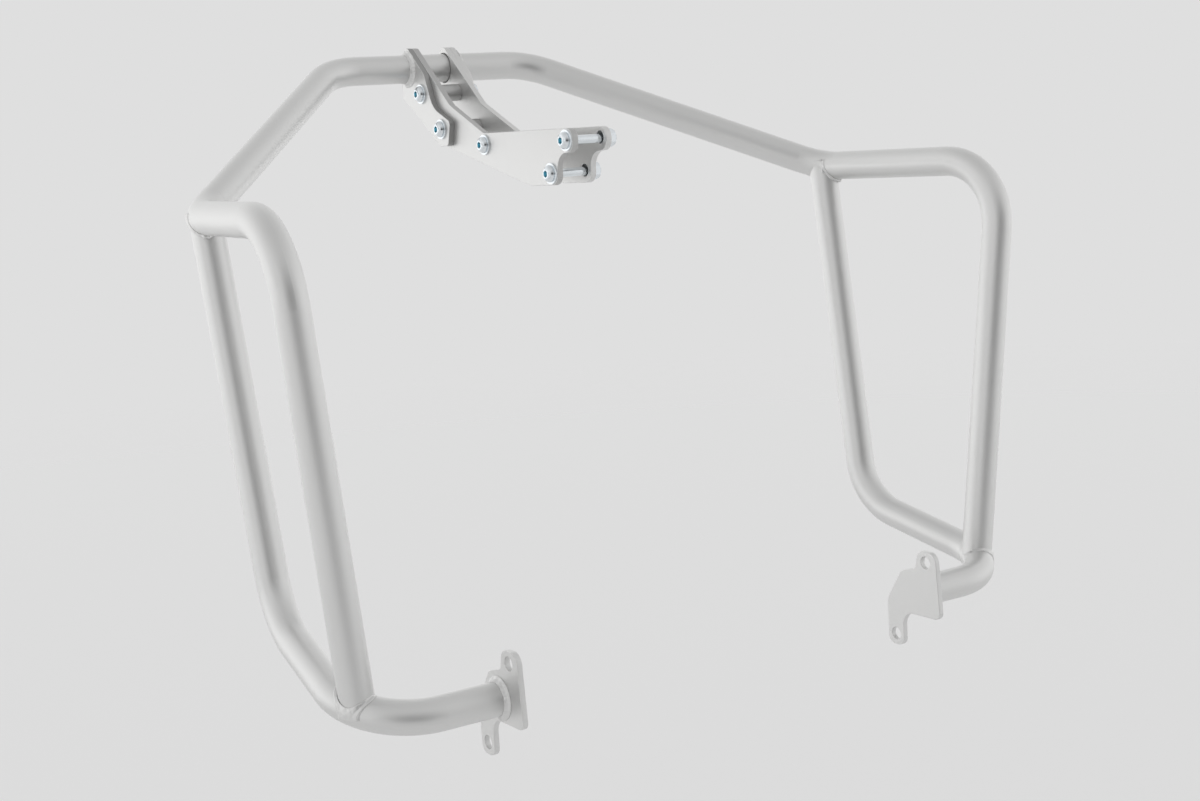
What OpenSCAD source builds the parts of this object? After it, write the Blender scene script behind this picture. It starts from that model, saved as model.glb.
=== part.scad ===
// Motorcycle crash bars in round steel tube, welded and bolted.
// One bent hoop crosses in front of the engine and comes down each side. A lower tube on each
// side ends in a flange plate, and a bracket of two cheek plates reaches back from the crossbar.
// +X is the rider's right, +Y is forwards and +Z is up. The sizes below are given from the
// crossbar's axis. The finished part has its origin midway between the bracket's two rear bolts.

/* [Tubes] */
// Outside diameter of the hoop and the lower tubes
tube_d = 25.4; // [22:0.1:28]
// Wall thickness of the tubes
tube_wall = 2; // [1.2:0.1:3]
// Radius of every bend, on the centre line
bend_r = 55; // [48:1:60]

/* [Hoop] */
// Crossbar corner, out from the mid plane
bar_out = 101; // [90:1:115]
// Shoulder corner, out from the mid plane
shoulder_out = 303; // [285:1:320]
// Shoulder corner, back from the crossbar
shoulder_back = 184; // [170:1:200]
// Shoulder corner, down from the crossbar
shoulder_down = 112; // [95:1:130]
// Rear corner, out from the mid plane
rear_out = 328; // [310:1:345]
// Level run from the shoulder back to the rear corner
rear_run = 204; // [185:1:225]
// Share of the heel bend at which the hoop's foot lands on the lower tube
foot_share = 0.35; // [0.3:0.05:0.5]

/* [Lower tubes] */
// Knee corner, out from the mid plane
knee_out = 291; // [280:1:305]
// Knee corner, back from the crossbar
knee_back = 238; // [225:1:250]
// Knee corner, down from the crossbar
knee_down = 418; // [390:1:435]
// Heel corner, out from the mid plane
heel_out = 307; // [295:1:320]
// Heel corner and tube end, back from the crossbar
heel_back = 404; // [390:1:420]
// Heel corner and tube end, down from the crossbar
heel_down = 460; // [440:1:480]
// Share of the shoulder bend at which the lower tube meets the hoop
leg_share = 0.55; // [0.45:0.05:0.55]

/* [Flange plates] */
// Distance between the inner faces of the two flange plates
flange_span = 389; // [350:1:400]
// Thickness of a flange plate
flange_t = 4.5; // [3:0.5:8]
// Diameter of the two bolt holes in each flange plate
flange_hole_d = 10.5; // [8.5:0.1:12]
// Upper hole, back from the tube's axis
upper_hole_back = 16.5; // [15:0.5:18]
// Upper hole, up from the tube's axis
upper_hole_up = 28.5; // [27:0.5:32]
// Lower hole, forwards from the tube's axis
lower_hole_front = 22; // [20:0.5:23]
// Lower hole, down from the tube's axis
lower_hole_down = 38; // [36:0.5:42]
// Width of plate round each hole's centre
lobe_r = 9.2; // [9:0.1:10]

/* [Bracket] */
// Clear gap between the two cheek plates
cheek_gap = 26.5; // [24:0.5:34]
// Thickness of the cheek plates
cheek_t = 5.5; // [4:0.5:8]
// Thickness of the tabs that are welded to the crossbar
tab_t = 5.5; // [4:0.5:8]
// Height of the plates' hook above the crossbar's surface
hook_h = 6; // [4:0.5:8]
// Clearance between the cheek plates' saddles and the crossbar
saddle_clearance = 0.8; // [0.3:0.1:1.2]
// Front bolt through tabs and cheeks, back from the crossbar
front_bolt_back = 24; // [22:0.5:26]
// Front bolt, down from the crossbar
front_bolt_down = 23.5; // [22.5:0.5:26]
// Second bolt through tabs and cheeks, back from the crossbar
second_bolt_back = 57; // [55:0.5:59]
// Second bolt, down from the crossbar
second_bolt_down = 56; // [54:0.5:58]
// Middle bolt through the cheeks alone, back from the crossbar
middle_bolt_back = 123; // [115:1:150]
// Middle bolt, down from the crossbar
middle_bolt_down = 72; // [71.5:0.5:76]
// Upper rear bolt, back from the crossbar
upper_bolt_back = 255; // [250:1:270]
// Upper rear bolt, down from the crossbar
upper_bolt_down = 72.5; // [71:0.5:75]
// Lower rear bolt, back from the crossbar
lower_bolt_back = 229; // [225:1:231]
// Lower rear bolt, down from the crossbar
lower_bolt_down = 98.5; // [97:0.5:102]
// Radius of the cheek plates' rear lugs
lug_r = 9.6; // [9:0.1:10]
// Diameter of the rear lugs' holes
lug_hole_d = 10.5; // [10.2:0.1:12]
// How far the rear lugs' holes stand above the bolts, which rest low in them
lug_hole_rise = 0.8; // [0:0.1:0.8]

/* [Fasteners] */
// Thread diameter of the bolts
bolt_d = 8; // [7.5:0.1:8]
// Diameter of the bolts' plain shanks
shank_d = 7.2; // [6.5:0.1:7.4]
// Diameter of a button head
head_d = 14; // [12:0.5:15]
// Height of a button head
head_h = 4.4; // [3.5:0.1:5]
// Width across the flats of the hexagon socket
socket_af = 5; // [4:0.5:5.5]
// Depth of the hexagon socket
socket_depth = 2.8; // [2:0.1:3]
// Outside diameter of a washer
washer_d = 17.5; // [16:0.5:18]
// Thickness of a washer
washer_t = 1.6; // [1:0.1:2]
// Width across the flats of a nut
nut_af = 13; // [12:0.5:14]
// Height of a nut
nut_h = 6.5; // [5:0.5:8]
// How far a bolt's end stands out of its nut
bolt_proud = 0.6; // [0:0.1:3]
// Outside diameter of the spacer tubes
spacer_d = 15; // [12:0.5:16]
// Radial clearance round a bolt in its washer, spacer and plates
bolt_clearance = 0.4; // [0.2:0.1:0.6]

/* [Welds] */
// Leg of the weld beads on the flange plates and tabs
bead = 4; // [3:0.5:5]
// Leg of the weld beads where one tube stands on another
saddle_bead = 2.5; // [2:0.5:4]

/* [Hidden] */
$fn = 96;

coat = "#bcbcb9";
zinc = "#d5d9dc";
weld_gap = 0.1;     // root gap that a weld bead closes
thread_gap = 0.05;  // between a bolt's thread and its nut
over = 1;           // how far a cut runs past the face it cuts
lap = 0.5;          // how far a straight runs into the bend next to it
bend_thinning = 0.04;
corner_swell = 0.01;
cope_stop = 2.5;
bend_spare = 12;

tube_r = tube_d / 2;
bore_d = tube_d - 2 * tube_wall;
cheek_in = cheek_gap / 2;
cheek_out = cheek_in + cheek_t;
tab_out = cheek_out + tab_t;
flange_in = flange_span / 2;
flange_out = flange_in + flange_t;

// Corners of the tubes on the right side, on the centre lines
bar_corner = [bar_out, 0, 0];
shoulder = [shoulder_out, -shoulder_back, -shoulder_down];
rear = [rear_out, -shoulder_back - rear_run, -shoulder_down];
knee = [knee_out, -knee_back, -knee_down];
heel = [heel_out, -heel_back, -heel_down];
tube_end = [flange_out, -heel_back, -heel_down];
foot = on_bend(knee, heel, tube_end, foot_share);
leg_top = on_bend(bar_corner, shoulder, rear, leg_share);

// Bolt centres in the side view, as [forwards, up]
front_at = [-front_bolt_back, -front_bolt_down];
second_at = [-second_bolt_back, -second_bolt_down];
middle_at = [-middle_bolt_back, -middle_bolt_down];
upper_at = [-upper_bolt_back, -upper_bolt_down];
lower_at = [-lower_bolt_back, -lower_bolt_down];

// A bend turns from the direction a-b to the direction b-c round the corner b
function unit(v) = v / norm(v);
function turn(a, b, c) = acos(unit(b - a) * unit(c - b));
function setback(a, b, c) = bend_r * tan(turn(a, b, c) / 2);
function bend_start(a, b, c) = b - unit(b - a) * setback(a, b, c);
function bend_end(a, b, c) = b + unit(c - b) * setback(a, b, c);
function inward(a, b, c) = unit(unit(c - b) - unit(b - a) * (unit(b - a) * unit(c - b)));
function bend_centre(a, b, c) = bend_start(a, b, c) + inward(a, b, c) * bend_r;
function on_bend(a, b, c, share) =
    bend_centre(a, b, c)
    - inward(a, b, c) * bend_r * cos(share * turn(a, b, c))
    + unit(b - a) * bend_r * sin(share * turn(a, b, c));
function mirrored(p) = [-p[0], p[1], p[2]];

// A round rod from one point to another
module straight(a, b, d) {
    along = unit(b - a);
    translate(a)
        rotate([0, acos(along[2]), atan2(along[1], along[0])])
            cylinder(h = norm(b - a), d = d);
}

// The bent stretch of a rod at corner b. A cutter or a bead's form runs a few degrees further at
// each end, given as spare.
module elbow(a, b, c, d, spare = 0) {
    out = -inward(a, b, c);
    along = unit(b - a);
    axis = cross(out, along);
    centre = bend_centre(a, b, c);
    multmatrix([
        [out[0], along[0], axis[0], centre[0]],
        [out[1], along[1], axis[1], centre[1]],
        [out[2], along[2], axis[2], centre[2]]
    ])
        rotate([0, 0, -spare])
            rotate_extrude(angle = turn(a, b, c) + 2 * spare)
                translate([bend_r, 0]) circle(d = d);
}

// A rod along a path of corners, bent at each inner corner. Each bend is a hair thinner than the
// straights, which run a little way into it, so that the two surfaces never coincide.
module rod(path, d) {
    last = len(path) - 1;
    for (i = [0 : last - 1]) {
        along = unit(path[i + 1] - path[i]);
        from = i == 0 ? path[0] : bend_end(path[i - 1], path[i], path[i + 1]) - along * lap;
        to = i == last - 1
            ? path[last] : bend_start(path[i], path[i + 1], path[i + 2]) + along * lap;
        straight(from, to, d);
    }
    for (i = [1 : last - 1])
        elbow(path[i - 1], path[i], path[i + 1], d - bend_thinning);
}

// A coped end stops a little short of the other tube's centre line
foot_stop = foot - unit(foot - rear) * cope_stop;
leg_stop = leg_top - unit(leg_top - knee) * cope_stop;

hoop_path = [
    mirrored(foot_stop), mirrored(rear), mirrored(shoulder), mirrored(bar_corner),
    bar_corner, shoulder, rear, foot_stop
];
leg_path = [leg_stop, knee, heel, tube_end];
leg_bore_path = [leg_top, knee, heel, tube_end - [over, 0, 0]];
hoop_bore_path = [
    mirrored(foot), mirrored(rear), mirrored(shoulder), mirrored(bar_corner),
    bar_corner, shoulder, rear, foot
];

// The bends that the two tubes are fitted to, grown by a given diameter
module shoulder_bend(growth)
    elbow(bar_corner, shoulder, rear, tube_d - bend_thinning + growth, bend_spare);
module heel_bend(growth)
    elbow(knee, heel, tube_end, tube_d - bend_thinning + growth, bend_spare);

module both_sides() {
    children();
    mirror([1, 0, 0]) children();
}

module main_hoop() {
    color(coat)
        difference() {
            rod(hoop_path, tube_d);
            rod(hoop_bore_path, bore_d);
            both_sides() heel_bend(2 * weld_gap);
        }
}

module lower_tube() {
    color(coat)
        difference() {
            rod(leg_path, tube_d);
            rod(leg_bore_path, bore_d);
            shoulder_bend(2 * weld_gap);
        }
}

// A flat plate in the side view, given as [forwards, up], from one x to another
module side_plate(x_from, x_to)
    translate([x_from, 0, 0])
        rotate([90, 0, 90])
            linear_extrude(x_to - x_from) children();

module side_hole(at, d, x_from, x_to)
    translate([x_from - over, at[0], at[1]])
        rotate([0, 90, 0])
            cylinder(h = x_to - x_from + 2 * over, d = d);

// An outline with a round corner at each point: [forwards, up, radius].
// Points run anticlockwise. Outward corners gain a disc and inward corners lose one. The discs are
// a hair larger than their radius, so that they cross the straight edges and never just touch them.
function xy(p) = [p[0], p[1]];
function corner_turn(p, i) =
    let (n = len(p), a = xy(p[(i + n - 1) % n]), b = xy(p[i]), c = xy(p[(i + 1) % n]))
    let (u = unit(b - a), v = unit(c - b))
    atan2(u[0] * v[1] - u[1] * v[0], u * v);
function corner_back(p, i) = p[i][2] * tan(abs(corner_turn(p, i)) / 2);
function corner_from(p, i) =
    let (n = len(p), a = xy(p[(i + n - 1) % n]), b = xy(p[i]))
    b - unit(b - a) * corner_back(p, i);
function corner_to(p, i) =
    let (n = len(p), b = xy(p[i]), c = xy(p[(i + 1) % n]))
    b + unit(c - b) * corner_back(p, i);
function corner_centre(p, i) =
    let (n = len(p), a = xy(p[(i + n - 1) % n]), b = xy(p[i]), u = unit(b - a))
    corner_from(p, i) + sign(corner_turn(p, i)) * p[i][2] * [-u[1], u[0]];

module corner_discs(p, side)
    for (i = [0 : len(p) - 1])
        if (p[i][2] > 0 && sign(corner_turn(p, i)) == side)
            translate(corner_centre(p, i)) circle(r = p[i][2] + corner_swell);

module rounded_outline(p) {
    difference() {
        union() {
            polygon([for (i = [0 : len(p) - 1]) each [corner_from(p, i), corner_to(p, i)]]);
            corner_discs(p, 1);
        }
        corner_discs(p, -1);
    }
}

// Flange plate: a pad under the tube's end, a lobe above it and an ear below it.
// Its corners are given from the tube's axis or from a hole's centre.
pad_centre = [-heel_back, -heel_down];
upper_hole = pad_centre + [-upper_hole_back, upper_hole_up];
lower_hole = pad_centre + [lower_hole_front, -lower_hole_down];
pad_rear = 31.5;
pad_low = 17.5;
pad_front = 13.5;
pad_high = 17.5;
brow_low = 9;       // where the front edge starts to slope back, down from the axis
lobe_lean = 2.5;    // extra width on the lobe's rear side
pad_r = 6;
notch_r = 12;
ear_r = 7;
brow_r = 14;
shoulder_r = 9;
neck_r = 3;
crown_round = 8;

flange_outline = [
    [upper_hole[0] - lobe_r - lobe_lean, upper_hole[1] + lobe_r, shoulder_r],
    [pad_centre[0] - pad_rear, pad_centre[1] - pad_low, pad_r],
    [lower_hole[0] - lobe_r, pad_centre[1] - pad_low, notch_r],
    [lower_hole[0] - lobe_r, lower_hole[1] - lobe_r, ear_r],
    [lower_hole[0] + lobe_r, lower_hole[1] - lobe_r, ear_r],
    [lower_hole[0] + lobe_r, pad_centre[1] - brow_low, brow_r],
    [pad_centre[0] + pad_front, pad_centre[1] + pad_high, shoulder_r],
    [upper_hole[0] + lobe_r + neck_r, upper_hole[1] - 2 * neck_r, neck_r],
    [upper_hole[0] + lobe_r, upper_hole[1] + lobe_r, crown_round]
];

module flange_plate() {
    color(coat)
        difference() {
            side_plate(flange_in, flange_out) rounded_outline(flange_outline);
            side_hole(upper_hole, flange_hole_d, flange_in, flange_out);
            side_hole(lower_hole, flange_hole_d, flange_in, flange_out);
        }
}

// The hook over the crossbar and the edge below the two front bolts are the same on the tabs and
// the cheek plates. Corners near a bolt are given from its centre, as far back or forwards and up.
function corner(at, forwards, up, r) = [at[0] + forwards, at[1] + up, r];

hook_top = tube_r + hook_h;
hook_start = [
    [6, 0, 0],
    [8.5, 13, 1.5],
    [0, hook_top, 2],
    [-4, hook_top - 0.7, 5]
];
hook_end = [
    corner(second_at, 5, -15, 8),
    corner(front_at, 20, -12.5, 8),
    [13, -26, 4],
    [11, -4, 0]
];
tab_outline = concat(
    hook_start,
    [
        corner(front_at, -7, 17, 12),
        corner(second_at, 14, 19.5, 24),
        corner(second_at, -16, 6, 4.5),
        corner(second_at, -10, -15, 4)
    ],
    hook_end
);
cheek_outline = concat(
    hook_start,
    [
        corner(second_at, -8, 20.5, 14),
        corner(middle_at, 1, 10, 5),
        corner(upper_at, -lug_r, lug_r, lug_r),
        corner(upper_at, -lug_r, -lug_r, lug_r),
        [lower_at[0] - lug_r, upper_at[1] - lug_r - 1, 14],
        corner(lower_at, -lug_r, -lug_r, lug_r),
        corner(lower_at, 34, -lug_r, 20)
    ],
    hook_end
);

module hooked_plate(outline, x_from, x_to, saddle_d, holes) {
    difference() {
        side_plate(x_from, x_to) rounded_outline(outline);
        side_hole([0, 0], saddle_d, x_from, x_to);
        for (h = holes)
            side_hole(h[0], h[1], x_from, x_to);
    }
}

bolt_hole_d = bolt_d + 2 * bolt_clearance;

module weld_tab() {
    color(coat)
        hooked_plate(tab_outline, cheek_out, tab_out, tube_d + 2 * weld_gap,
            [[front_at, bolt_hole_d], [second_at, bolt_hole_d]]);
}

module cheek_plate() {
    color(coat)
        hooked_plate(cheek_outline, cheek_in, cheek_out, tube_d + 2 * saddle_clearance,
            [
                [front_at, bolt_hole_d], [second_at, bolt_hole_d], [middle_at, bolt_hole_d],
                [upper_at + [0, lug_hole_rise], lug_hole_d],
                [lower_at + [0, lug_hole_rise], lug_hole_d]
            ]);
}

// Something along +X at a bolt's centre
module on_bolt(at, x)
    translate([x, at[0], at[1]])
        rotate([0, 90, 0]) children();

module ring(d, h) {
    difference() {
        cylinder(h = h, d = d);
        translate([0, 0, -over]) cylinder(h = h + 2 * over, d = bolt_hole_d);
    }
}

module spacer(at) {
    color(coat)
        on_bolt(at, -cheek_in) ring(spacer_d, cheek_gap);
}

// The head is on the left, outside a washer on the outermost plate
module washer(at, plate_x) {
    color(zinc)
        on_bolt(at, -plate_x - washer_t) ring(washer_d, washer_t);
}

rim_h = 0.8;        // straight rim under a button head's crown
crown_drop = 2.6;   // from the head's seat down to the crown's centre
crown_r = sqrt(pow(head_d / 2, 2) + pow(rim_h + crown_drop, 2));
tip_chamfer = 1;
thread_lead = 2;    // length of thread in front of the nut

module bolt(at, plate_x) {
    length = 2 * plate_x + washer_t + nut_h + bolt_proud;
    thread_from = length - bolt_proud - nut_h - thread_lead;
    color(zinc)
        on_bolt(at, -plate_x - washer_t) {
            cylinder(h = thread_from + lap, d = shank_d);
            translate([0, 0, thread_from])
                cylinder(h = length - tip_chamfer - thread_from, d = bolt_d);
            translate([0, 0, length - tip_chamfer])
                cylinder(h = tip_chamfer, d1 = bolt_d, d2 = bolt_d - 2 * tip_chamfer);
            difference() {
                intersection() {
                    translate([0, 0, -head_h]) cylinder(h = head_h, d = head_d);
                    translate([0, 0, crown_drop]) sphere(r = crown_r);
                }
                translate([0, 0, -head_h - over])
                    cylinder(h = socket_depth + over, d = socket_af / cos(30), $fn = 6);
            }
        }
}

nut_corner_r = nut_af / 2 / cos(30);
nut_chamfer = 0.6;

module nut(at, plate_x) {
    color(zinc)
        on_bolt(at, plate_x)
            difference() {
                intersection() {
                    cylinder(h = nut_h, r = nut_corner_r, $fn = 6);
                    rotate_extrude()
                        polygon([
                            [0, 0], [nut_af / 2, 0], [nut_corner_r, nut_chamfer],
                            [nut_corner_r, nut_h - nut_chamfer], [nut_af / 2, nut_h], [0, nut_h]
                        ]);
                }
                translate([0, 0, -over])
                    cylinder(h = nut_h + 2 * over, d = bolt_d + 2 * thread_gap);
            }
}

// Weld beads fill the corner between a tube's coped end and the bend that it stands on
bend_leg = saddle_bead - 0.5;

module foot_weld() {
    past = foot + unit(foot - rear) * saddle_bead;
    color(coat)
        difference() {
            intersection() {
                straight(rear, past, tube_d + 2 * saddle_bead);
                heel_bend(2 * bend_leg);
            }
            straight(rear, past + unit(foot - rear) * over, tube_d);
            heel_bend(0);
        }
}

module shoulder_weld() {
    past = leg_top + unit(leg_top - knee) * saddle_bead;
    color(coat)
        difference() {
            intersection() {
                straight(knee, past, tube_d + 2 * saddle_bead);
                shoulder_bend(2 * bend_leg);
            }
            straight(knee, past + unit(leg_top - knee) * over, tube_d);
            shoulder_bend(0);
        }
}

// A fillet round a tube that stands on a plate's outer face
module fillet_ring(x, r)
    translate([x, 0, 0])
        rotate([0, 90, 0])
            rotate_extrude()
                polygon([[r, 0], [r + bead, 0], [r + bead * 0.4, bead * 0.4], [r, bead]]);

module flange_weld() {
    color(coat)
        translate([0, -heel_back, -heel_down]) fillet_ring(flange_out, tube_r);
}

module tab_weld() {
    color(coat)
        difference() {
            fillet_ring(tab_out, tube_r);
            translate([tab_out - over, 4, -tube_d]) cube([bead + 2 * over, tube_d, 2 * tube_d]);
        }
}

module on_left() mirror([1, 0, 0]) children();

// Moves the origin from the crossbar's axis to the clevis at the bracket's rear end
module placed() {
    clevis = (upper_at + lower_at) / 2;
    translate([0, -clevis[0], -clevis[1]]) children();
}

placed() main_hoop();
placed() on_left() lower_tube();  // left_lower_tube
placed() lower_tube();  // right_lower_tube
placed() on_left() flange_plate();  // left_flange_plate
placed() flange_plate();  // right_flange_plate
placed() on_left() weld_tab();  // left_weld_tab
placed() weld_tab();  // right_weld_tab
placed() on_left() cheek_plate();  // left_cheek_plate
placed() cheek_plate();  // right_cheek_plate
placed() spacer(front_at);  // front_spacer
placed() spacer(second_at);  // second_spacer
placed() spacer(middle_at);  // middle_spacer
placed() bolt(front_at, tab_out);  // front_bolt
placed() bolt(second_at, tab_out);  // second_bolt
placed() bolt(middle_at, cheek_out);  // middle_bolt
placed() bolt(upper_at, cheek_out);  // upper_rear_bolt
placed() bolt(lower_at, cheek_out);  // lower_rear_bolt
placed() washer(front_at, tab_out);  // front_washer
placed() washer(second_at, tab_out);  // second_washer
placed() washer(middle_at, cheek_out);  // middle_washer
placed() washer(upper_at, cheek_out);  // upper_rear_washer
placed() washer(lower_at, cheek_out);  // lower_rear_washer
placed() nut(front_at, tab_out);  // front_nut
placed() nut(second_at, tab_out);  // second_nut
placed() nut(middle_at, cheek_out);  // middle_nut
placed() nut(upper_at, cheek_out);  // upper_rear_nut
placed() nut(lower_at, cheek_out);  // lower_rear_nut
placed() on_left() foot_weld();  // left_foot_weld
placed() foot_weld();  // right_foot_weld
placed() on_left() shoulder_weld();  // left_shoulder_weld
placed() shoulder_weld();  // right_shoulder_weld
placed() on_left() flange_weld();  // left_flange_weld
placed() flange_weld();  // right_flange_weld
placed() on_left() tab_weld();  // left_tab_weld
placed() tab_weld();  // right_tab_weld
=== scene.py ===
"""Looks of a set of motorcycle crash bars: coated tubes and plates, weld beads, plated fasteners."""

import math

import bmesh
import bpy
from bpy.props import FloatProperty, FloatVectorProperty, IntProperty, PointerProperty
from mathutils import Matrix, Vector, noise
from mathutils.bvhtree import BVHTree


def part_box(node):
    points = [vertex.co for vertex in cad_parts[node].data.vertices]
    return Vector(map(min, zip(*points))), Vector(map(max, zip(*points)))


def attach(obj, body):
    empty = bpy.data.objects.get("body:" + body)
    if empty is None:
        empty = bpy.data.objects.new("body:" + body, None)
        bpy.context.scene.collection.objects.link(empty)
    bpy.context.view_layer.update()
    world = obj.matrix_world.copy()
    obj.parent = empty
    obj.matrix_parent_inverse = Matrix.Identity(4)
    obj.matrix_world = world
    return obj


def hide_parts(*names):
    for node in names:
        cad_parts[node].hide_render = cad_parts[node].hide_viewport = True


bl_info = {
    "name": "Motorcycle crash bars",
    "version": (1, 0, 0),
    "blender": (4, 5, 0),
    "location": "3D View > Sidebar > Crash bars",
    "description": "Finishes the tubes, plates, welds and fasteners of a set of crash bars",
    "category": "Object",
}

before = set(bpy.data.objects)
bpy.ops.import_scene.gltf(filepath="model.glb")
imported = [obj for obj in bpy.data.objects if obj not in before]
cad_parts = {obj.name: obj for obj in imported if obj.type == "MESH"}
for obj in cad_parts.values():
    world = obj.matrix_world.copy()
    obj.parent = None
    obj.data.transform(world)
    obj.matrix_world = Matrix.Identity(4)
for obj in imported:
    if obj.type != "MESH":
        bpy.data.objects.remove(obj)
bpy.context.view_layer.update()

MM = 0.001
MERGE = 0.002 * MM  # vertices nearer than this are one
SQUARE = math.radians(60)  # edges that turn more than this are a plate's or a ring's rims
NUT_CORNER = math.radians(25)
TUBE = 25.4 * MM
TUBES = ["main_hoop", "left_lower_tube", "right_lower_tube"]
SIDES = ["left", "right"]
PLATES = ["flange_plate", "weld_tab", "cheek_plate"]
SPACERS = ["front_spacer", "second_spacer", "middle_spacer"]
JOINTS = ["front", "second", "middle", "upper_rear", "lower_rear"]

# Each kind of weld bead on the right side: a point on its tube's axis, the axis, the tube that it
# joins and how uneven it is
HEEL = Vector((0.307, -0.162, -0.3745))
WELDS = {
    "foot_weld": (Vector((0.3283, -0.146, -0.0265)), Vector((-0.09, 0.037, -0.995)), "lower_tube", 0.3),
    "shoulder_weld": (Vector((0.291, 0.004, -0.3325)), Vector((0.04, 0.16, 0.99)), "main_hoop", 0.3),
    "flange_weld": (HEEL, Vector((-1, 0, 0)), None, 0.6),
    "tab_weld": (Vector((0, 0.242, 0.0855)), Vector((1, 0, 0)), None, 0.7),
}
# Knobs where a bead ends, in degrees round the tube, from the rear towards the mid plane
KNOBS = {
    "left_foot_weld": [77], "right_foot_weld": [35, 66],
    "left_shoulder_weld": [-10, -23], "right_shoulder_weld": [53, -19],
}


class CoatSettings(bpy.types.PropertyGroup):
    colour: FloatVectorProperty(
        name="Coat colour", description="Colour of the silver-grey coat",
        subtype="COLOR", size=3, min=0, max=1, default=(0.70, 0.70, 0.694),
    )
    metal: FloatProperty(
        name="Metal share", description="How much the coat shines like metal flakes",
        subtype="FACTOR", min=0, max=1, default=0.88,
    )
    roughness: FloatProperty(
        name="Roughness", description="How matt the coat is",
        subtype="FACTOR", min=0, max=1, default=0.43,
    )
    # Painted shade: the left tab's cut edge is coloured darker for the shade that falls on it
    tab_edge: FloatProperty(
        name="Tab edge shade", description="Shade of the left tab's cut edge beside its faces",
        subtype="FACTOR", min=0, max=1, default=0.5,
    )
    # Painted shade: the left cheek plate's cut edge is coloured darker for the shade that falls on it
    cheek_edge: FloatProperty(
        name="Cheek edge shade",
        description="Shade of the left cheek plate's cut edge beside its faces",
        subtype="FACTOR", min=0, max=1, default=0.72,
    )
    # Painted shade: the spacer tubes are coloured darker for the shade that falls between the cheek
    # plates
    spacer_painted_shade: FloatProperty(
        name="Spacer shade", description="Shade of the spacer tubes beside the rest",
        subtype="FACTOR", min=0, max=1, default=0.75,
    )
    grain: FloatProperty(
        name="Grain", description="Size of the coat's fine grain",
        unit="LENGTH", min=0.0002, max=0.01, default=0.0011,
    )
    weld_grain: FloatProperty(
        name="Weld grain", description="Size of the small lumps on a coated weld",
        unit="LENGTH", min=0.0002, max=0.01, default=0.0017,
    )
    edge: FloatProperty(
        name="Plate edge", description="Rounding along the plates' edges",
        unit="LENGTH", min=0, max=0.0007, default=0.0005,
    )


class FastenerSettings(bpy.types.PropertyGroup):
    colour: FloatVectorProperty(
        name="Zinc colour", description="Colour of the plated bolts, washers and nuts",
        subtype="COLOR", size=3, min=0, max=1, default=(0.80, 0.84, 0.87),
    )
    # Painted shade: the plating inside the sockets is coloured darker for the shade in the recess, with
    # the plating's own teal tint
    socket_painted_shade_colour: FloatVectorProperty(
        name="Socket colour", description="Colour of the plating inside the sockets",
        subtype="COLOR", size=3, min=0, max=1, default=(0.34, 0.58, 0.66),
    )
    roughness: FloatProperty(
        name="Zinc roughness", description="How matt the plating is",
        subtype="FACTOR", min=0, max=1, default=0.12,
    )
    shank: FloatProperty(
        name="Shank", description="Diameter of a bolt's plain shank",
        unit="LENGTH", min=0.005, max=0.0078, default=0.0072,
    )
    thread: FloatProperty(
        name="Thread", description="Outside diameter of a bolt's thread",
        unit="LENGTH", min=0.006, max=0.008, default=0.008,
    )
    rim: FloatProperty(
        name="Head rim", description="Height of the straight rim under a button head's crown",
        unit="LENGTH", min=0.0003, max=0.002, default=0.0009,
    )
    socket: FloatProperty(
        name="Socket", description="Width across the flats of the hexagon socket",
        unit="LENGTH", min=0.003, max=0.006, default=0.005,
    )
    socket_depth: FloatProperty(
        name="Socket depth", description="Depth of the hexagon socket",
        unit="LENGTH", min=0.001, max=0.0035, default=0.0028,
    )
    pitch: FloatProperty(
        name="Thread pitch", description="Distance from one thread to the next",
        unit="LENGTH", min=0.0005, max=0.002, default=0.00125,
    )
    edge: FloatProperty(
        name="Edge", description="Rounding along the edges of washers and nuts",
        unit="LENGTH", min=0, max=0.0005, default=0.00025,
    )


class WeldSettings(bpy.types.PropertyGroup):
    voxel: FloatProperty(
        name="Mesh size", description="Size of the faces on a weld bead",
        unit="LENGTH", min=0.0002, max=0.001, default=0.0003,
    )
    ripple: FloatProperty(
        name="Ripple", description="Distance from one ripple of a bead to the next",
        unit="LENGTH", min=0.001, max=0.008, default=0.0048,
    )
    height: FloatProperty(
        name="Ripple height", description="How high the ripples stand",
        unit="LENGTH", min=0, max=0.001, default=0.0005,
    )
    lumps: FloatProperty(
        name="Lumps", description="How uneven the bead is",
        unit="LENGTH", min=0, max=0.001, default=0.0004,
    )
    swell: FloatProperty(
        name="Swell", description="How far a bead laps over the metal on each side of it",
        unit="LENGTH", min=0, max=0.001, default=0.0002,
    )
    knob: FloatProperty(
        name="Knob", description="How far a knob at a bead's end stands up",
        unit="LENGTH", min=0, max=0.002, default=0.0011,
    )


class StageSettings(bpy.types.PropertyGroup):
    backdrop: FloatVectorProperty(
        name="Backdrop", description="Plain pale colour behind the object",
        subtype="COLOR", size=3, min=0, max=1, default=(0.738, 0.738, 0.738),
    )
    floor: FloatVectorProperty(
        name="Floor", description="Plain pale colour of the floor",
        subtype="COLOR", size=3, min=0, max=1, default=(0.93, 0.93, 0.93),
    )
    floor_height: FloatProperty(
        name="Floor height", description="Height of the floor",
        unit="LENGTH", min=-2, max=-0.43, default=-0.95,
    )
    lens: FloatProperty(
        name="Lens", description="Focal length of the camera on a 36 mm sensor",
        unit="CAMERA", min=20, max=200, default=54.96,
    )
    floor_corners: IntProperty(
        name="Floor corners", description="Number of corners round the floor's edge",
        min=16, max=256, default=96,
    )


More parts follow.
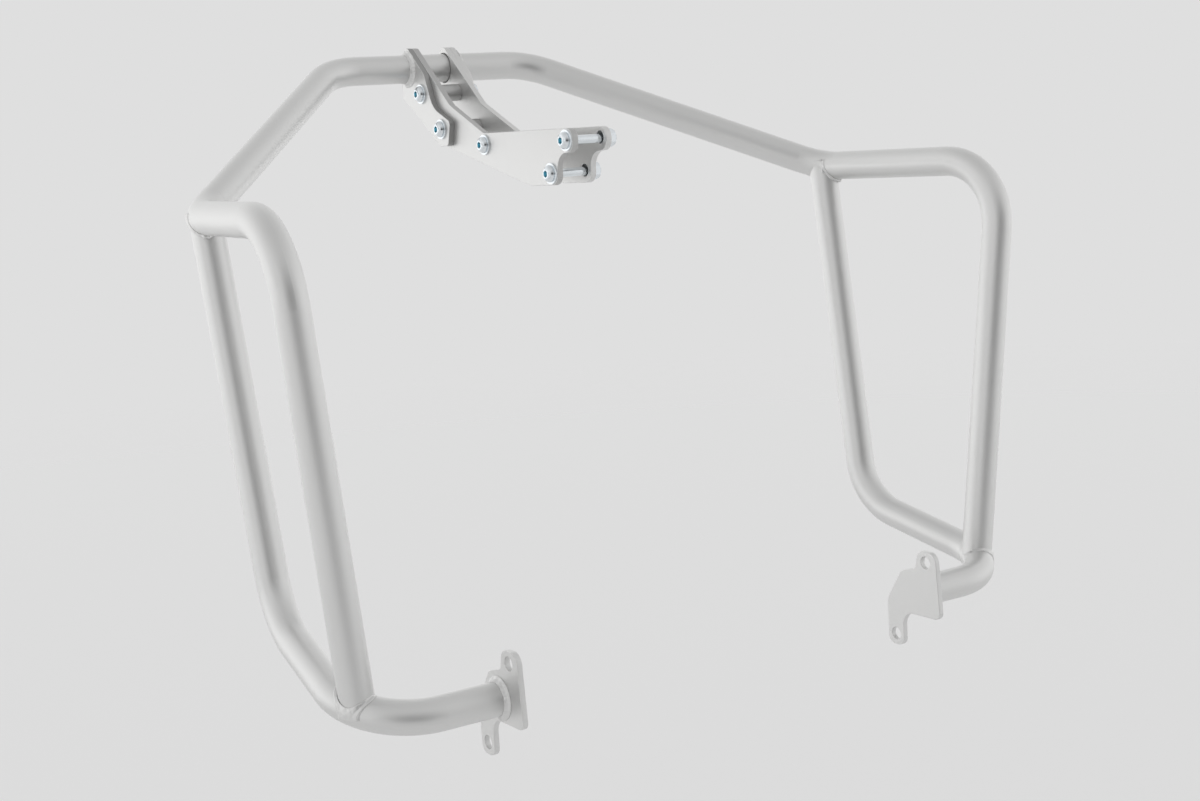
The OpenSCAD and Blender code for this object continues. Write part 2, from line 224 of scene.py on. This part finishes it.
class Value:
    """A socket that gives a number, on which sums are written as Python expressions."""

    def __init__(self, tree, socket):
        self.tree, self.socket = tree, socket

    def _math(self, operation, other, swap=False, clamp=False):
        node = self.tree.nodes.new("ShaderNodeMath")
        node.operation = operation
        node.use_clamp = clamp
        pair = (other, self) if swap else (self, other)
        for place, value in enumerate(pair):
            if isinstance(value, Value):
                self.tree.links.new(value.socket, node.inputs[place])
            else:
                node.inputs[place].default_value = value
        return Value(self.tree, node.outputs[0])

    def __add__(self, other):
        return self._math("ADD", other)

    def __radd__(self, other):
        return self._math("ADD", other, swap=True)

    def __sub__(self, other):
        return self._math("SUBTRACT", other)

    def __mul__(self, other):
        return self._math("MULTIPLY", other)

    def __rmul__(self, other):
        return self._math("MULTIPLY", other, swap=True)

    def __truediv__(self, other):
        return self._math("DIVIDE", other)

    def __pow__(self, other):
        return self._math("POWER", other)

    def above(self, other):
        return self._math("MAXIMUM", other)

    def clamped(self):
        return self._math("ADD", 0.0, clamp=True)


class Shader:
    """A node tree, emptied, with one method that adds any node."""

    def __init__(self, tree):
        self.tree = tree
        tree.nodes.clear()

    def node(self, kind, settings=None, **sockets):
        made = self.tree.nodes.new("ShaderNode" + kind)
        for name, value in (settings or {}).items():
            setattr(made, name, value)
        for name, value in sockets.items():
            key = int(name[1:]) if name[1:].isdigit() else name.replace("_", " ")
            socket = made.inputs[key]
            if isinstance(value, Value):
                value = value.socket
            if isinstance(value, bpy.types.NodeSocket):
                self.tree.links.new(value, socket)
            else:
                socket.default_value = value
        return made

    def value(self, node, output):
        return Value(self.tree, node.outputs[output])

    def noise(self, where, size, detail=2.0):
        """Soft lumps of about the given size, from 0 to 1."""
        made = self.node("TexNoise", Vector=where, Scale=1 / size, Detail=detail, Roughness=0.5)
        return self.value(made, 0)

    def blend(self, factor, first, second):
        """A colour between two colours."""
        made = self.node("Mix", {"data_type": "RGBA"}, i0=factor, i6=first, i7=second)
        return made.outputs[2]


def rgba(colour, lighter=1.0):
    return tuple(min(1.0, c * lighter) for c in colour) + (1.0,)


def new_material(name):
    """A material with an empty tree, its shader, and the surface's own place."""
    made = bpy.data.materials.new(name)
    made.use_nodes = True
    shader = Shader(made.node_tree)
    where = shader.node("TexCoord").outputs["Object"]
    return made, shader, where


def finish_material(made, shader, surface, colour):
    output = shader.node("OutputMaterial")
    shader.tree.links.new(surface.outputs[0], output.inputs["Surface"])
    made.diffuse_color = rgba(colour)
    return made


def coat_material(name, settings, lumpy=False, shade=1.0):
    """Silver-grey coat with a fine grain. On welds it also lies over small lumps."""
    cloud_size = 45 * MM
    tint = 0.025
    uneven = 0.03
    grain_depth = 0.01 * MM
    lump_depth = 0.1 * MM
    made, shader, where = new_material(name)
    # A shade below 1 darkens the coat as painted shade, on the spacers and on the left plates' cut
    # edges
    colour = tuple(c * shade for c in settings.colour)
    cloud = shader.noise(where, cloud_size, 3)
    grain = shader.noise(where, settings.grain, 2)
    mottle = (cloud * 0.7 + grain * 0.3).clamped()
    base = shader.blend(mottle, rgba(colour, 1 - tint), rgba(colour, 1 + tint))
    rough = settings.roughness - uneven + cloud * uneven + grain * uneven
    height, depth = grain, grain_depth
    if lumpy:
        height = grain * 0.2 + shader.noise(where, settings.weld_grain, 3) * 0.8
        depth = lump_depth
    bump = shader.node("Bump", Strength=1.0, Distance=depth, Height=height)
    surface = shader.node(
        "BsdfPrincipled", Base_Color=base, Roughness=rough.clamped(), Metallic=settings.metal,
        Coat_Weight=0.12, Coat_Roughness=0.35, Normal=bump.outputs[0],
    )
    return finish_material(made, shader, surface, colour)


def zinc_material(name, settings, colour):
    """Bright plated steel with a faint cloudiness and fine marks."""
    cloud_size = 4 * MM
    mark_size = 0.5 * MM
    mark_depth = 0.006 * MM
    uneven = 0.05
    made, shader, where = new_material(name)
    cloud = shader.noise(where, cloud_size, 3)
    marks = shader.noise(where, mark_size, 2)
    base = shader.blend(cloud.clamped(), rgba(colour, 0.93), rgba(colour, 1.04))
    rough = settings.roughness - uneven + cloud * uneven + marks * uneven
    bump = shader.node("Bump", Strength=1.0, Distance=mark_depth, Height=marks)
    surface = shader.node(
        "BsdfPrincipled", Base_Color=base, Roughness=rough.clamped(), Metallic=1.0,
        Normal=bump.outputs[0],
    )
    return finish_material(made, shader, surface, colour)


def shared_material(name, make, *details):
    """A material that several pieces share, made the first time that it's asked for."""
    return bpy.data.materials.get(name) or make(name, *details)


def coat():
    return shared_material("silver_coat", coat_material, bpy.context.scene.crash_bars_coat)


def edge_coat_with_left_painted_shade(node):
    """The coat on a plate's cut edge, with painted shade darkening it on the bracket's left tab and
    cheek plate.
    """
    settings = bpy.context.scene.crash_bars_coat
    painted_shades = {"left_weld_tab": settings.tab_edge, "left_cheek_plate": settings.cheek_edge}
    if node not in painted_shades:
        return coat()
    return shared_material(node + "_edge", coat_material, settings, False, painted_shades[node])


# The spacers' coat, darkened as painted shade for the shade between the cheek plates
def spacer_coat():
    settings = bpy.context.scene.crash_bars_coat
    return shared_material("spacer_coat", coat_material, settings, False, settings.spacer_painted_shade)


def weld_coat():
    return shared_material("coated_weld", coat_material, bpy.context.scene.crash_bars_coat, True)


def zinc():
    settings = bpy.context.scene.crash_bars_fasteners
    return shared_material("bright_zinc", zinc_material, settings, settings.colour)


# Zinc for the sockets, darkened as painted shade for the recess and tinted teal like the plating
def socket_zinc():
    settings = bpy.context.scene.crash_bars_fasteners
    return shared_material("socket_zinc", zinc_material, settings, settings.socket_painted_shade_colour)


def repaint(node, material):
    """Gives a CAD node's object one material on all its slots."""
    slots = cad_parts[node].data.materials
    slots.clear()
    slots.append(material)


def joined_copy(node, flat=0.4):
    """A bmesh copy of a CAD node, with its triangles joined into whole faces where flat isn't 0."""
    bm = bmesh.new()
    bm.from_mesh(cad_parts[node].data)
    bmesh.ops.remove_doubles(bm, verts=bm.verts[:], dist=MERGE)
    if flat:
        bmesh.ops.dissolve_limit(
            bm, angle_limit=math.radians(flat), use_dissolve_boundaries=False,
            verts=bm.verts[:], edges=bm.edges[:], delimit={"NORMAL"},
        )
    return bm


def turn_of(edge):
    """The angle between an edge's two faces."""
    return edge.calc_face_angle(0.0)


def round_edges(bm, edges, width, segments=3):
    bmesh.ops.bevel(
        bm, geom=edges, offset=width, offset_type="OFFSET", segments=segments, profile=0.5,
        affect="EDGES", clamp_overlap=False, material=-1, loop_slide=False,
    )


def new_piece(name, bm, materials, node, crease=40):
    """Makes a piece of a bmesh that stands for a CAD node and rides on the one body."""
    for face in bm.faces:
        face.smooth = True
    for edge in bm.edges:
        edge.smooth = turn_of(edge) < math.radians(crease)
    mesh = bpy.data.meshes.new(name)
    bm.to_mesh(mesh)
    bm.free()
    piece = bpy.data.objects.new(name, mesh)
    bpy.context.scene.collection.objects.link(piece)
    for material in materials:
        mesh.materials.append(material)
    weighted = piece.modifiers.new("Even shading", "WEIGHTED_NORMAL")
    weighted.keep_sharp = True
    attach(piece, "root")
    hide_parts(node)
    return piece


class CRASHBARS_OT_tubes(bpy.types.Operator):
    """Gives the hoop and the two lower tubes their silver-grey coat"""

    bl_idname = "crash_bars.tubes"
    bl_label = "Tubes"

    def execute(self, context):
        for node in TUBES:
            repaint(node, coat())
        return {"FINISHED"}


class CRASHBARS_OT_plates(bpy.types.Operator):
    """Builds the flange plates, tabs and cheek plates with softly rounded edges"""

    bl_idname = "crash_bars.plates"
    bl_label = "Plates"

    # How far a normal leans along x on a plate's flat sides, and at most on its cut edge
    side_lean = 0.99
    cut_lean = 0.5

    def execute(self, context):
        edge = context.scene.crash_bars_coat.edge
        for node in [side + "_" + plate for side in SIDES for plate in PLATES]:
            bm = joined_copy(node, flat=0)
            rims = [
                e for e in bm.edges
                if turn_of(e) > SQUARE
                and any(abs(f.normal.x) > self.side_lean for f in e.link_faces)
            ]
            round_edges(bm, rims, edge)
            # Cut-edge faces take the second material, which carries painted shade on the left tab and
            # cheek plate
            for face in bm.faces:
                face.material_index = 1 if abs(face.normal.x) < self.cut_lean else 0
            new_piece(node + "_coated", bm, [coat(), edge_coat_with_left_painted_shade(node)], node)
        return {"FINISHED"}


class CRASHBARS_OT_spacers(bpy.types.Operator):
    """Builds the spacer tubes between the cheek plates"""

    bl_idname = "crash_bars.spacers"
    bl_label = "Spacers"

    def execute(self, context):
        edge = context.scene.crash_bars_coat.edge
        for node in SPACERS:
            bm = joined_copy(node)
            round_edges(bm, [e for e in bm.edges if turn_of(e) > SQUARE], edge, 2)
            new_piece(node + "_coated", bm, [spacer_coat()], node)
        return {"FINISHED"}


class CRASHBARS_OT_washers(bpy.types.Operator):
    """Builds the washers under the bolt heads"""

    bl_idname = "crash_bars.washers"
    bl_label = "Washers"

    def execute(self, context):
        edge = context.scene.crash_bars_fasteners.edge
        for joint in JOINTS:
            node = joint + "_washer"
            bm = joined_copy(node)
            round_edges(bm, [e for e in bm.edges if turn_of(e) > SQUARE], edge, 2)
            new_piece(node + "_plated", bm, [zinc()], node)
        return {"FINISHED"}


class CRASHBARS_OT_nuts(bpy.types.Operator):
    """Builds the hexagon nuts at the far ends of the bolts"""

    bl_idname = "crash_bars.nuts"
    bl_label = "Nuts"

    def execute(self, context):
        edge = context.scene.crash_bars_fasteners.edge
        for joint in JOINTS:
            node = joint + "_nut"
            bm = joined_copy(node)
            corners = [e for e in bm.edges if turn_of(e) > NUT_CORNER]
            round_edges(bm, corners, edge, 2)
            new_piece(node + "_plated", bm, [zinc()], node)
        return {"FINISHED"}


class CRASHBARS_OT_bolts(bpy.types.Operator):
    """Builds the button-head bolts with their hexagon sockets and threads"""

    bl_idname = "crash_bars.bolts"
    bl_label = "Bolts"

    corners = 48
    socket_bevel = 0.5 * MM
    lead_depth = 0.3 * MM
    lead_width = 0.25 * MM
    flat_top = 3.6 * MM  # radius at which the crown's arc starts
    crown_steps = 8
    crown_slope = (math.radians(8), math.radians(70))
    seat_chamfer = (0.15 * MM, 0.2 * MM)
    thread_lead = 2 * MM
    thread_depth = 0.55 * MM
    tip = 0.7 * MM
    rings_per_turn = 8

    def ring(self, bm, loop, x, reach, centre):
        """Draws a loop out to a new ring at x. Reach gives its radius at each angle."""
        made = bmesh.ops.extrude_edge_only(bm, edges=loop)["geom"]
        for v in made:
            if isinstance(v, bmesh.types.BMVert):
                angle = math.atan2(v.co.z - centre.z, v.co.y - centre.y)
                radius = reach(angle) if callable(reach) else reach
                v.co = (x, centre.y + radius * math.cos(angle), centre.z + radius * math.sin(angle))
        return [e for e in made if isinstance(e, bmesh.types.BMEdge)]

    def execute(self, context):
        sizes = context.scene.crash_bars_fasteners
        flat = sizes.socket / 2

        def hexagon(grow):
            return lambda angle: (flat + grow) / math.cos(
                (angle + math.pi / 6) % (math.pi / 3) - math.pi / 6
            )

        for joint in JOINTS:
            low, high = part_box(joint + "_bolt")
            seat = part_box(joint + "_washer")[0].x
            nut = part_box(joint + "_nut")[0].x
            centre = (low + high) / 2
            head = (high.y - low.y) / 2
            shank, thread = sizes.shank / 2, sizes.thread / 2
            top = low.x
            bm = bmesh.new()
            made = bmesh.ops.create_circle(bm, cap_ends=False, segments=self.corners, radius=1 * MM)
            for v in made["verts"]:
                v.co = (top + sizes.socket_depth, centre.y + v.co.x, centre.z + v.co.y)
            loop = bm.edges[:]
            bmesh.ops.edgeloop_fill(bm, edges=loop)
            # The socket's floor, walls and lead-in
            floor = top + sizes.socket_depth
            loop = self.ring(bm, loop, floor - self.socket_bevel, hexagon(0), centre)
            loop = self.ring(bm, loop, top + self.lead_depth, hexagon(0), centre)
            loop = self.ring(bm, loop, top, hexagon(self.lead_width), centre)
            inside = len(bm.faces)
            # The crown runs down to the rim in an arc
            drop = seat - sizes.rim - top
            first, last = self.crown_slope
            for step in range(self.crown_steps + 1):
                slope = first + (last - first) * step / self.crown_steps
                along = (math.sin(slope) - math.sin(first)) / (math.sin(last) - math.sin(first))
                down = (math.cos(first) - math.cos(slope)) / (math.cos(first) - math.cos(last))
                radius = self.flat_top + (head - self.flat_top) * along
                loop = self.ring(bm, loop, top + drop * down, radius, centre)
            loop = self.ring(bm, loop, seat - self.seat_chamfer[0], head, centre)
            loop = self.ring(bm, loop, seat, head - self.seat_chamfer[1], centre)
            loop = self.ring(bm, loop, seat, shank, centre)
            # A plain shank to the nut, then the thread to the tip
            start = nut - self.thread_lead
            loop = self.ring(bm, loop, start, shank, centre)
            loop = self.ring(bm, loop, start, thread, centre)
            count = round((high.x - start) / (sizes.pitch / self.rings_per_turn))
            for step in range(1, count + 1):
                x = start + (high.x - start) * step / count
                fade = min(1.0, step / self.rings_per_turn, (high.x - x) / sizes.pitch)
                end = min(0.0, high.x - self.tip - x)

                def reach(angle, x=x, fade=fade, end=end):
                    turn = (x - start) / sizes.pitch - angle / (2 * math.pi)
                    groove = abs((turn % 1.0) * 2 - 1)
                    return thread + end - self.thread_depth * fade * (1 - groove)

                loop = self.ring(bm, loop, x, reach, centre)
            bmesh.ops.edgeloop_fill(bm, edges=loop)
            # The socket's faces take the zinc with painted shade
            for number, face in enumerate(bm.faces):
                face.material_index = 1 if number < inside else 0
            bmesh.ops.recalc_face_normals(bm, faces=bm.faces[:])
            node = joint + "_bolt"
            new_piece(node + "_plated", bm, [zinc(), socket_zinc()], node, crease=32)
        return {"FINISHED"}


class CRASHBARS_OT_welds(bpy.types.Operator):
    """Builds the rippled, uneven weld beads under the coat"""

    bl_idname = "crash_bars.welds"
    bl_label = "Welds"

    fullness = 0.9  # how far a bead's slope stands out of the corner that it fills
    drift_size = 6 * MM
    drift = 0.6
    lump_size = 3.2 * MM
    small_lump_size = 1.4 * MM
    knob_width = 1.3 * MM
    smooth_passes = 2

    def fine_mesh(self, node, voxel):
        """A CAD bead's shape again, in small even faces."""
        bm = joined_copy(node, flat=0)
        rough = bpy.data.meshes.new("rough")
        bm.to_mesh(rough)
        bm.free()
        scratch = bpy.data.objects.new("scratch", rough)
        bpy.context.scene.collection.objects.link(scratch)
        remesh = scratch.modifiers.new("Fine", "REMESH")
        remesh.mode = "VOXEL"
        remesh.voxel_size = voxel
        remesh.adaptivity = 0
        bpy.context.view_layer.update()
        shaped = scratch.evaluated_get(bpy.context.evaluated_depsgraph_get())
        bm = bmesh.new()
        bm.from_mesh(shaped.to_mesh())
        shaped.to_mesh_clear()
        bpy.data.objects.remove(scratch)
        bpy.data.meshes.remove(rough)
        return bm

    def hollow(self, bm, origin, along, other):
        """Cuts the square outer corner of a bead between two tubes down to a slope."""
        tree = BVHTree.FromBMesh(joined_copy(other, flat=0))
        out, up = [], []
        for v in bm.verts:
            away = v.co - origin
            away -= along * away.dot(along)
            out.append(away.normalized() * (away.length - TUBE / 2))
            spot = tree.find_nearest(v.co)[0]
            up.append(v.co - spot)
        leg_out = max(v.length for v in out)
        leg_up = max(v.length for v in up)
        for v, o, u in zip(bm.verts, out, up):
            part = o.length / leg_out + u.length / leg_up
            if part > self.fullness:
                v.co -= (o + u) * (1 - self.fullness / part)

    def execute(self, context):
        sizes = context.scene.crash_bars_welds
        for kind, (point, axis, other, uneven) in WELDS.items():
            for number, side in enumerate(SIDES):
                mirror = Vector((-1 if side == "left" else 1, 1, 1))
                origin, along = point * mirror, (axis * mirror).normalized()
                node = side + "_" + kind
                bm = self.fine_mesh(node, sizes.voxel)
                if other:
                    self.hollow(bm, origin, along, other if other in TUBES else side + "_" + other)
                bm.normal_update()
                rear = Vector((0, -1, 0)) if other else Vector((0, 0, 1))
                rear = (rear - along * rear.dot(along)).normalized()
                inward = along.cross(rear)
                inward *= -mirror.x if inward.x > 0 else mirror.x
                seed = Vector((number * 3.1, len(kind), 0))
                moves = []
                for v in bm.verts:
                    away = v.co - origin
                    angle = math.atan2(away.dot(inward), away.dot(rear))
                    run = angle * TUBE / 2
                    drift = noise.noise(v.co / self.drift_size + seed)
                    wave = math.cos(2 * math.pi * (run / sizes.ripple + self.drift * drift))
                    lump = noise.noise(v.co / self.lump_size + seed)
                    lump += 0.5 * noise.noise(v.co / self.small_lump_size + seed)
                    rise = sizes.swell + (sizes.height * 0.5 * wave + sizes.lumps * lump) * uneven
                    for knob in KNOBS.get(node, []):
                        apart = (angle - math.radians(knob)) * TUBE / 2
                        rise += sizes.knob * math.exp(-(apart / self.knob_width) ** 2)
                    moves.append(v.normal * rise)
                for v, move in zip(bm.verts, moves):
                    v.co += move
                for _ in range(self.smooth_passes):
                    bmesh.ops.smooth_vert(
                        bm, verts=bm.verts[:], factor=0.5,
                        use_axis_x=True, use_axis_y=True, use_axis_z=True,
                    )
                new_piece(node + "_bead", bm, [weld_coat()], node, crease=180)
        return {"FINISHED"}


class CRASHBARS_OT_stage(bpy.types.Operator):
    """Sets the pale floor, the soft studio light and the camera"""

    bl_idname = "crash_bars.stage"
    bl_label = "Stage"

    floor_radius = 14
    fade_from = 1.2
    fade_over = 5.0
    camera_place = Vector((-0.8037, -1.2673, 0.0167))
    camera_right = Vector((0.83601, -0.54487, -0.06485))
    camera_up = Vector((0.13252, 0.08580, 0.98748))
    camera_back = Vector((-0.53248, -0.83413, 0.14393))
    all_round = 1.06
    darkest = 0.02
    # Where the light from all round is changed: the direction, by how much and how narrowly
    changes = [
        ((0, 0, 1), -0.44, 1.3),
        ((-0.55, 0.85, -0.05), 0.22, 3),
        ((-0.20, -0.97, -0.12), -1.0, 4.5),
        ((-0.45, -0.89, 0.0), -0.22, 60),
        ((-1.0, -0.1, 0.1), -0.8, 110),
    ]

    def floor(self, settings):
        """A wide round floor that fades into the backdrop at its edge."""
        bm = bmesh.new()
        bmesh.ops.create_circle(
            bm, cap_ends=True, segments=settings.floor_corners, radius=self.floor_radius,
        )
        bmesh.ops.translate(bm, verts=bm.verts[:], vec=(0, 0, settings.floor_height))
        mesh = bpy.data.meshes.new("floor")
        bm.to_mesh(mesh)
        bm.free()
        made = bpy.data.objects.new("floor", mesh)
        bpy.context.scene.collection.objects.link(made)
        material, shader, where = new_material("pale_floor")
        apart = shader.node("SeparateXYZ", Vector=where)
        x, y = shader.value(apart, 0), shader.value(apart, 1)
        distance = (x * x + y * y) ** 0.5
        fade = ((distance - self.fade_from) / self.fade_over).clamped()
        matt = shader.node("BsdfDiffuse", Color=rgba(settings.floor))
        clear = shader.node("BsdfTransparent")
        surface = shader.node("MixShader", i0=fade, i1=matt.outputs[0], i2=clear.outputs[0])
        mesh.materials.append(finish_material(material, shader, surface, settings.floor))

    def sky(self, settings):
        """Soft light from all round, with a dark stretch in front, behind a plain backdrop."""
        world = bpy.data.worlds.new("studio")
        bpy.context.scene.world = world
        world.use_nodes = True
        shader = Shader(world.node_tree)
        ray = shader.node("TexCoord").outputs["Generated"]

        level = self.all_round
        for direction, amount, narrowness in self.changes:
            aim = tuple(Vector(direction).normalized())
            dot = shader.node("VectorMath", {"operation": "DOT_PRODUCT"}, i0=ray, i1=aim)
            level = level + amount * shader.value(dot, "Value").above(0.0) ** narrowness
        level = level.above(self.darkest)
        around = shader.node("Background", Color=(1, 1, 1, 1), Strength=level)
        behind = shader.node("Background", Color=rgba(settings.backdrop), Strength=1.0)
        seen = shader.node("LightPath").outputs["Is Camera Ray"]
        mixed = shader.node("MixShader", i0=seen, i1=around.outputs[0], i2=behind.outputs[0])
        output = shader.node("OutputWorld")
        shader.tree.links.new(mixed.outputs[0], output.inputs["Surface"])

    def camera(self, settings):
        lens = bpy.data.cameras.new("camera")
        lens.sensor_width = 36
        lens.sensor_fit = "HORIZONTAL"
        lens.lens = settings.lens
        lens.clip_start, lens.clip_end = 0.05, 60
        made = bpy.data.objects.new("camera", lens)
        bpy.context.scene.collection.objects.link(made)
        axes = (self.camera_right, self.camera_up, self.camera_back)
        turned = Matrix(axes).transposed().to_4x4()
        made.matrix_world = Matrix.Translation(self.camera_place) @ turned
        bpy.context.scene.camera = made

    def execute(self, context):
        settings = context.scene.crash_bars_stage
        context.scene.view_settings.view_transform = "Standard"
        self.floor(settings)
        self.sky(settings)
        self.camera(settings)
        return {"FINISHED"}


class CRASHBARS_PT_panel(bpy.types.Panel):
    """Lists the sizes, the colours and the steps that build the crash bars"""

    bl_label = "Crash bars"
    bl_idname = "CRASHBARS_PT_panel"
    bl_space_type = "VIEW_3D"
    bl_region_type = "UI"
    bl_category = "Crash bars"

    def draw(self, context):
        for group in SETTINGS:
            column = self.layout.column(align=True)
            settings = getattr(context.scene, group)
            for name in settings.bl_rna.properties.keys():
                if name not in ("rna_type", "name"):
                    column.prop(settings, name)
        for step in STEPS:
            self.layout.operator(step.bl_idname)


SETTINGS = {
    "crash_bars_coat": CoatSettings,
    "crash_bars_fasteners": FastenerSettings,
    "crash_bars_welds": WeldSettings,
    "crash_bars_stage": StageSettings,
}
STEPS = [
    CRASHBARS_OT_tubes, CRASHBARS_OT_plates, CRASHBARS_OT_spacers, CRASHBARS_OT_washers,
    CRASHBARS_OT_nuts, CRASHBARS_OT_bolts, CRASHBARS_OT_welds, CRASHBARS_OT_stage,
]


def register():
    for made in [*SETTINGS.values(), *STEPS, CRASHBARS_PT_panel]:
        bpy.utils.register_class(made)
    for name, made in SETTINGS.items():
        setattr(bpy.types.Scene, name, PointerProperty(type=made))


def unregister():
    for name in SETTINGS:
        delattr(bpy.types.Scene, name)
    for made in reversed([*SETTINGS.values(), *STEPS, CRASHBARS_PT_panel]):
        bpy.utils.unregister_class(made)


def main():
    register()
    bpy.ops.crash_bars.tubes()
    bpy.ops.crash_bars.plates()
    bpy.ops.crash_bars.spacers()
    bpy.ops.crash_bars.washers()
    bpy.ops.crash_bars.nuts()
    bpy.ops.crash_bars.bolts()
    bpy.ops.crash_bars.welds()
    bpy.ops.crash_bars.stage()


if __name__ == "__main__":
    main()
